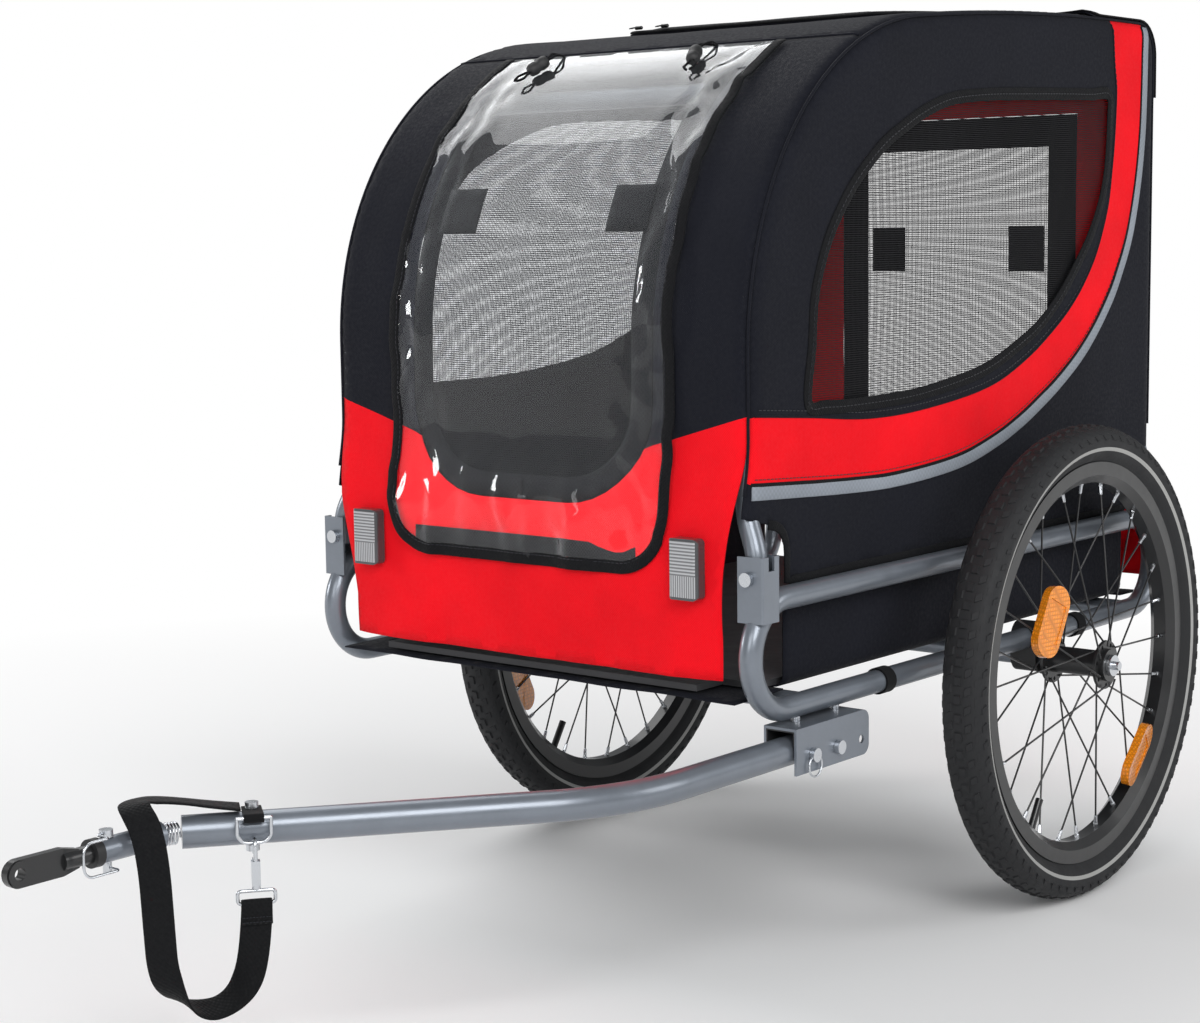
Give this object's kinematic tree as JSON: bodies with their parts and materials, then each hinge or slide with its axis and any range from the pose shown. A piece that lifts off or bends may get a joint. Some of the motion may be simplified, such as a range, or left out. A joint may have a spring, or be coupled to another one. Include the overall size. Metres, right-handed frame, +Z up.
{
  "type": "folding dog bike trailer",
  "caption": "Two-wheeled bicycle trailer for a dog: fabric cabin with mesh windows, doors and clear rain cover on a folding tube frame, bent tow bar with spring coupling and hitch eye.",
  "frame": {"origin": "bottom centre of the whole trailer, on the ground under the middle of its length", "axes": "+X to the trailer's left, +Y to its rear, +Z up; the hitch eye points to -Y"},
  "size_m": [0.7376, 1.4514, 0.9394],
  "materials": {
    "frame_grey": "satin",
    "zinc_steel": "satin",
    "black_metal": "satin",
    "black_plastic": "matte",
    "black_fabric": "matte",
    "red_fabric": "matte",
    "mesh_fabric": "matte",
    "webbing": "matte",
    "clear_vinyl": "gloss",
    "tyre_rubber": "matte",
    "amber_lens": "gloss",
    "clear_lens": "gloss",
    "red_lens": "gloss",
    "board": "matte"
  },
  "bodies": {
    "chassis": {"side_loop_left": "frame_grey", "side_loop_right": "frame_grey", "cross_tubes": "frame_grey", "axle_tube": "frame_grey", "axle_carriers": "black_plastic", "hoop_brackets": "frame_grey", "hoop_bolts": "zinc_steel", "quick_axles": "zinc_steel", "floor_tub": "black_fabric", "floor_board": "board", "rail_webbing": "webbing", "front_panel": "red_fabric", "side_panel_left": "black_fabric", "side_panel_right": "black_fabric", "window_meshes": "mesh_fabric", "roof_panel": "black_fabric", "rear_panel": "red_fabric", "rear_flap": "black_fabric", "front_reflectors": "clear_lens", "rear_reflectors": "red_lens", "tow_bracket": "frame_grey", "tow_liner": "black_plastic", "tow_spacers": "zinc_steel", "tow_bolt": "zinc_steel"},
    "wheel_left": {"tyre_left": "tyre_rubber", "rim_left": "black_metal", "hub_left": "black_metal", "spokes_left": "black_metal", "wheel_reflectors_left": "amber_lens"},
    "wheel_right": {"tyre_right": "tyre_rubber", "rim_right": "black_metal", "hub_right": "black_metal", "spokes_right": "black_metal", "wheel_reflectors_right": "amber_lens"},
    "button_left": {"release_button_left": "zinc_steel"},
    "button_right": {"release_button_right": "zinc_steel"},
    "right_hoop": {"hoop_right": "frame_grey"},
    "left_hoop": {"hoop_left": "frame_grey"},
    "spreader": {"spreader_bars": "frame_grey"},
    "front_door": {"front_door_border": "black_fabric", "front_door_mesh": "mesh_fabric"},
    "cover": {"rain_cover": "clear_vinyl"},
    "rear_door": {"rear_door_border": "black_fabric", "rear_door_mesh": "mesh_fabric"},
    "hatch": {"roof_hatch": "black_fabric"},
    "tow_lock": {"lock_pin": "zinc_steel"},
    "tow": {"tow_bar": "frame_grey", "strap_bolt": "zinc_steel", "ring_tab": "webbing", "safety_strap": "webbing"},
    "ring_hook": {"d_ring": "zinc_steel", "snap_hook": "zinc_steel"},
    "gate": {"snap_gate": "zinc_steel"},
    "coupling": {"coupling_spring": "zinc_steel"},
    "hitch": {"hitch_tube": "frame_grey", "hitch_cap": "black_plastic", "hitch_rod": "black_metal", "hitch_pin": "zinc_steel"},
    "bail": {"hitch_bail": "zinc_steel"}
  },
  "joints": [
    {"name": "wheel_left_spin", "type": "hinge", "parent": "chassis", "child": "wheel_left", "pos_m": [0.322, 0.42443, 0.25], "axis": [1, 0, 0], "continuous": true},
    {"name": "button_left_press", "type": "slide", "parent": "chassis", "child": "button_left", "axis": [-1, 0, 0], "range_m": [0, 0.004], "stiffness_N_per_m": 300},
    {"name": "wheel_right_spin", "type": "hinge", "parent": "chassis", "child": "wheel_right", "pos_m": [-0.322, 0.42443, 0.25], "axis": [1, 0, 0], "continuous": true},
    {"name": "button_right_press", "type": "slide", "parent": "chassis", "child": "button_right", "axis": [1, 0, 0], "range_m": [0, 0.004], "stiffness_N_per_m": 300},
    {"name": "hoop_right_fold", "type": "hinge", "parent": "chassis", "child": "right_hoop", "pos_m": [-0.2625, -0.07207, 0.396], "axis": [0, 1, 0], "range_deg": [0, 88], "deforming": ["front_panel", "side_panel_left", "side_panel_right", "window_meshes", "roof_panel", "rear_panel", "rear_flap", "front_door_border", "front_door_mesh", "rain_cover", "rear_door_border", "rear_door_mesh", "roof_hatch"]},
    {"name": "hoop_left_fold", "type": "hinge", "parent": "chassis", "child": "left_hoop", "pos_m": [0.2625, -0.07207, 0.396], "axis": [0, -1, 0], "range_deg": [0, 75], "deforming": ["front_panel", "side_panel_left", "side_panel_right", "window_meshes", "roof_panel", "rear_panel", "rear_flap", "front_door_border", "front_door_mesh", "rain_cover", "rear_door_border", "rear_door_mesh", "roof_hatch"]},
    {"name": "spreader_drop", "type": "slide", "parent": "chassis", "child": "spreader", "axis": [0, 0, -1], "range_m": [0, 0.536], "deforming": ["front_panel", "side_panel_left", "side_panel_right", "window_meshes", "roof_panel", "rear_panel", "rear_flap", "front_door_border", "front_door_mesh", "rain_cover", "rear_door_border", "rear_door_mesh", "roof_hatch"]},
    {"name": "front_door_lift", "type": "hinge", "parent": "chassis", "child": "front_door", "pos_m": [0, 0.10112, 0.88129], "axis": [1, 0, 0], "range_deg": [-70, 0]},
    {"name": "rain_cover_lift", "type": "hinge", "parent": "front_door", "child": "cover", "pos_m": [0, 0.10056, 0.88246], "axis": [1, 0, 0], "range_deg": [-30, 0]},
    {"name": "rear_door_lift", "type": "hinge", "parent": "chassis", "child": "rear_door", "pos_m": [0, 0.71243, 0.8317], "axis": [-1, 0, 0], "range_deg": [-95, 0]},
    {"name": "roof_hatch_lift", "type": "hinge", "parent": "chassis", "child": "hatch", "pos_m": [0, 0.53443, 0.93929], "axis": [1, 0, 0], "range_deg": [-110, 0]},
    {"name": "tow_bar_fold", "type": "hinge", "parent": "chassis", "child": "tow", "pos_m": [0.27, 0.01943, 0.2285], "axis": [1, 0, 0], "range_deg": [0, 180], "deforming": ["safety_strap"]},
    {"name": "tow_lock_pull", "type": "slide", "parent": "chassis", "child": "tow_lock", "axis": [1, 0, 0], "range_m": [0, 0.045]},
    {"name": "ring_swing", "type": "hinge", "parent": "tow", "child": "ring_hook", "pos_m": [0.09515, -0.52734, 0.2448], "axis": [-0.6112, -0.7915, 0], "range_deg": [0, 100], "deforming": ["safety_strap"]},
    {"name": "snap_gate_press", "type": "hinge", "parent": "ring_hook", "child": "gate", "pos_m": [0.0923, -0.52514, 0.1972], "axis": [-0.6112, -0.7915, 0], "range_deg": [0, 25], "stiffness_Nm_per_rad": 0.05},
    {"name": "coupling_yaw", "type": "hinge", "parent": "tow", "child": "coupling", "pos_m": [0.04188, -0.56862, 0.2325], "axis": [0, 0, 1], "range_deg": [-15, 15], "stiffness_Nm_per_rad": 40, "deforming": ["coupling_spring", "safety_strap"]},
    {"name": "coupling_pitch", "type": "hinge", "parent": "coupling", "child": "hitch", "pos_m": [0.04188, -0.56862, 0.2325], "axis": [1, 0, 0], "range_deg": [-12, 12], "stiffness_Nm_per_rad": 60, "deforming": ["coupling_spring", "safety_strap"]},
    {"name": "bail_swing", "type": "hinge", "parent": "hitch", "child": "bail", "pos_m": [0.03875, -0.62973, 0.2458], "axis": [0, -1, 0], "range_deg": [0, 100]}
  ],
  "couplings": [
    {"joint": "hoop_left_fold", "follows": "hoop_right_fold", "ratio": 0.83},
    {"joint": "spreader_drop", "follows": "hoop_right_fold", "m_per_rad": 0.34768}
  ]
}
